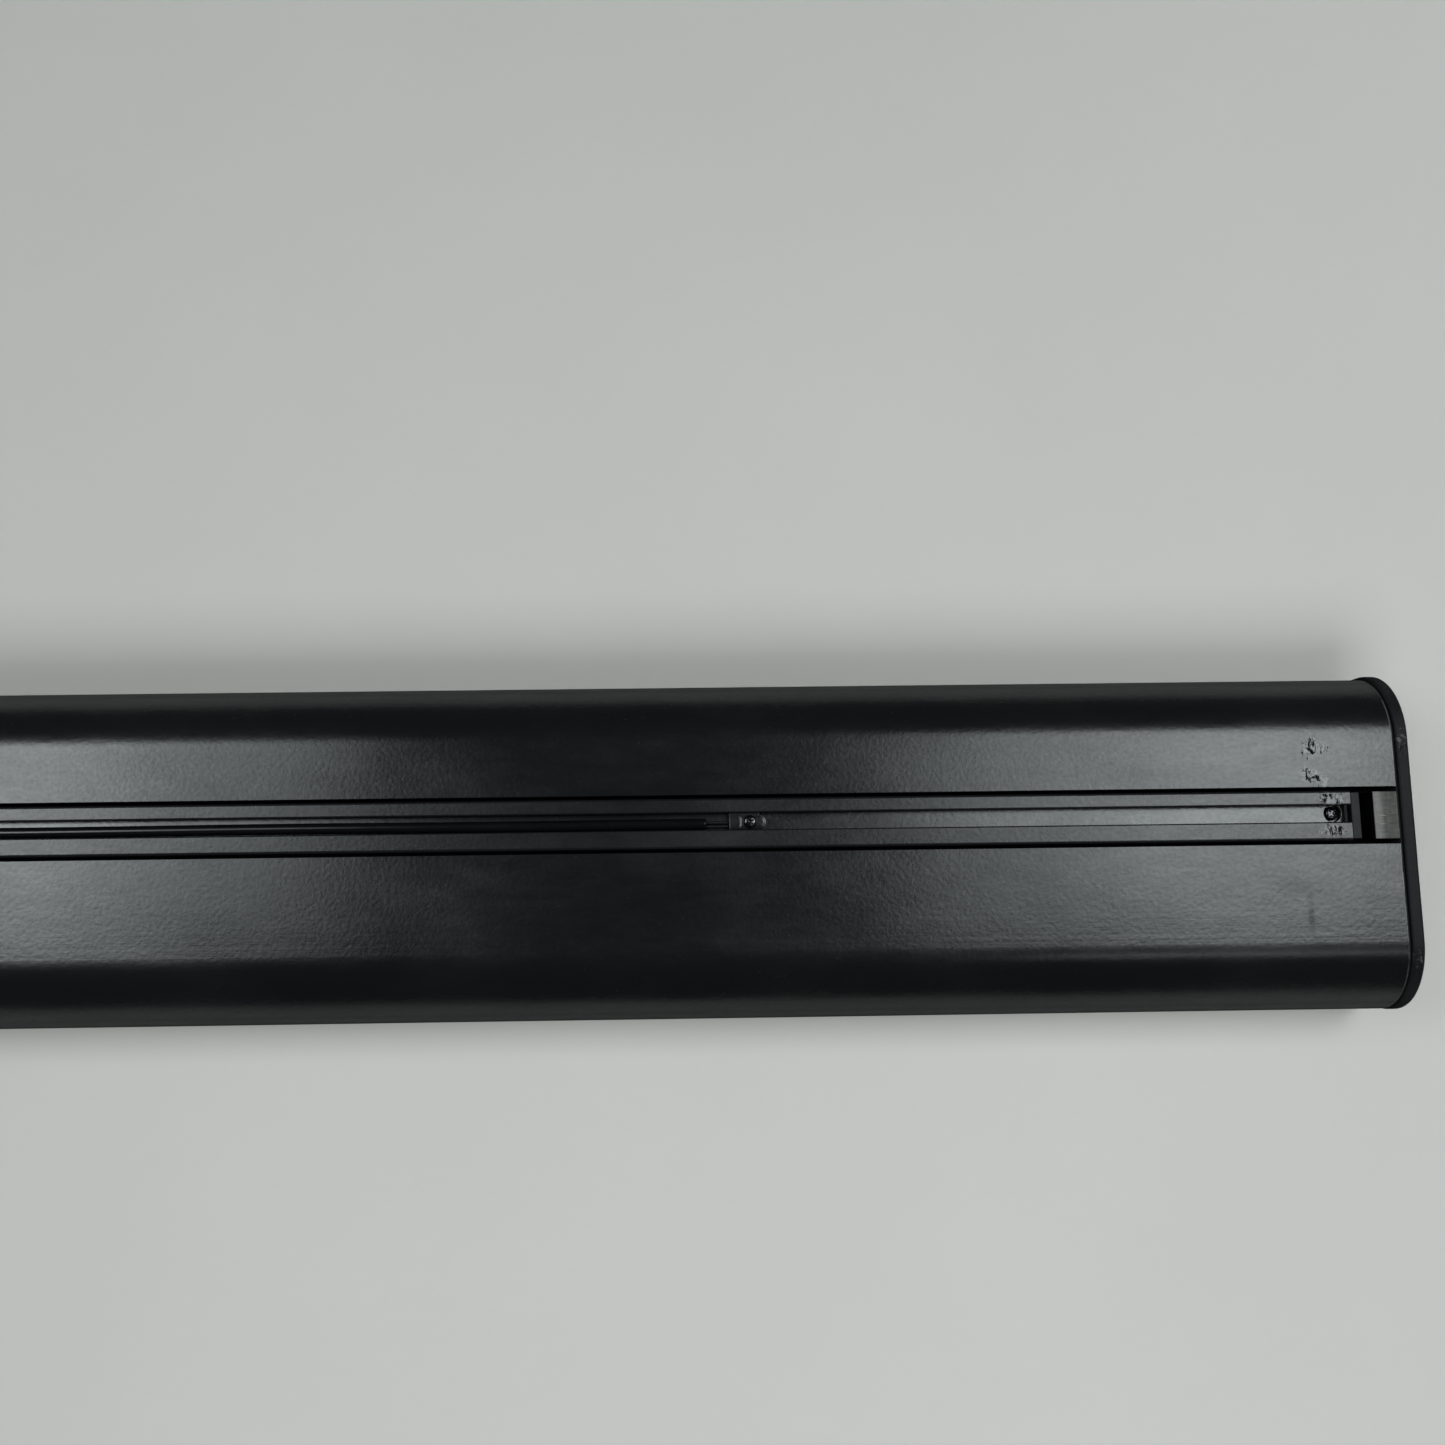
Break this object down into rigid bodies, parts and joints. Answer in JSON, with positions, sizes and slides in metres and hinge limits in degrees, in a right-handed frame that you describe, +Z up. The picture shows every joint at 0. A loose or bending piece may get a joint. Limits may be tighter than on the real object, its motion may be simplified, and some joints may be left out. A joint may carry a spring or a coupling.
{
  "type": "led strip batten",
  "caption": "Rounded black extrusion that shines down through an opal diffuser, with a slotted rail set off-centre in its back and a lead held in the slot by a sliding clamp.",
  "frame": {"origin": "under the middle of the batten, on the plane of the diffuser's flat face", "axes": "+X along the batten towards the end away from the lead's entry block, +Y across it towards the side that the rail is offset to, +Z up through the slotted back"},
  "size_m": [1.063, 0.1468, 0.0601],
  "materials": {
    "powder_black": "satin black powder coat, fine orange peel",
    "cap_black": "satin black powder coat, worn at the edges",
    "rail_black": "satin black",
    "clamp_black": "satin black",
    "screw_black": "black oxide, polished recess",
    "steel": "zinc plated",
    "bare_metal": "scratched bare metal",
    "sheet_metal": "mill finish sheet",
    "rubber_black": "matt",
    "gasket_rubber": "matt",
    "lead_sheath": "satin",
    "core_insulation": "satin",
    "opal": "opal, satin",
    "board_white": "white solder mask",
    "driver_case": "fine textured",
    "terminal_plastic": "smooth"
  },
  "bodies": {
    "batten": {"diffuser": "opal", "driver_input_lead": "lead_sheath", "driver_output_lead": "lead_sheath", "driver_screw_1": "steel", "driver_screw_2": "steel", "entry_block_screw": "screw_black", "housing": "powder_black", "inner_lead": "lead_sheath", "lead_entry_block": "rubber_black", "led_board_1": "board_white", "led_board_2": "board_white", "led_board_3": "board_white", "led_board_4": "board_white", "led_driver": "driver_case", "led_tray": "sheet_metal", "left_cap": "cap_black", "left_cap_screw_1": "screw_black", "left_cap_screw_2": "screw_black", "left_cap_screw_3": "screw_black", "left_cap_screw_4": "screw_black", "left_end_block": "bare_metal", "left_gasket": "gasket_rubber", "rail_screw_1": "screw_black", "rail_screw_2": "screw_black", "rail_screw_3": "screw_black", "rail_stop": "rail_black", "right_cap": "cap_black", "right_cap_screw_1": "screw_black", "right_cap_screw_2": "screw_black", "right_cap_screw_3": "screw_black", "right_cap_screw_4": "screw_black", "right_end_block": "bare_metal", "right_gasket": "gasket_rubber", "slot_rail": "rail_black", "terminal_block": "terminal_plastic", "tray_grommet": "gasket_rubber"},
    "slot_clamp": {"clamp_block": "clamp_black", "clamp_plate": "clamp_black", "clamp_screw": "screw_black", "supply_lead": "lead_sheath", "lead_core_1": "core_insulation", "lead_core_2": "core_insulation"}
  },
  "joints": [
    {"name": "clamp_slide", "type": "slide", "parent": "batten", "child": "slot_clamp", "axis": [1, 0, 0], "range_m": [-0.01, 0.03]}
  ]
}
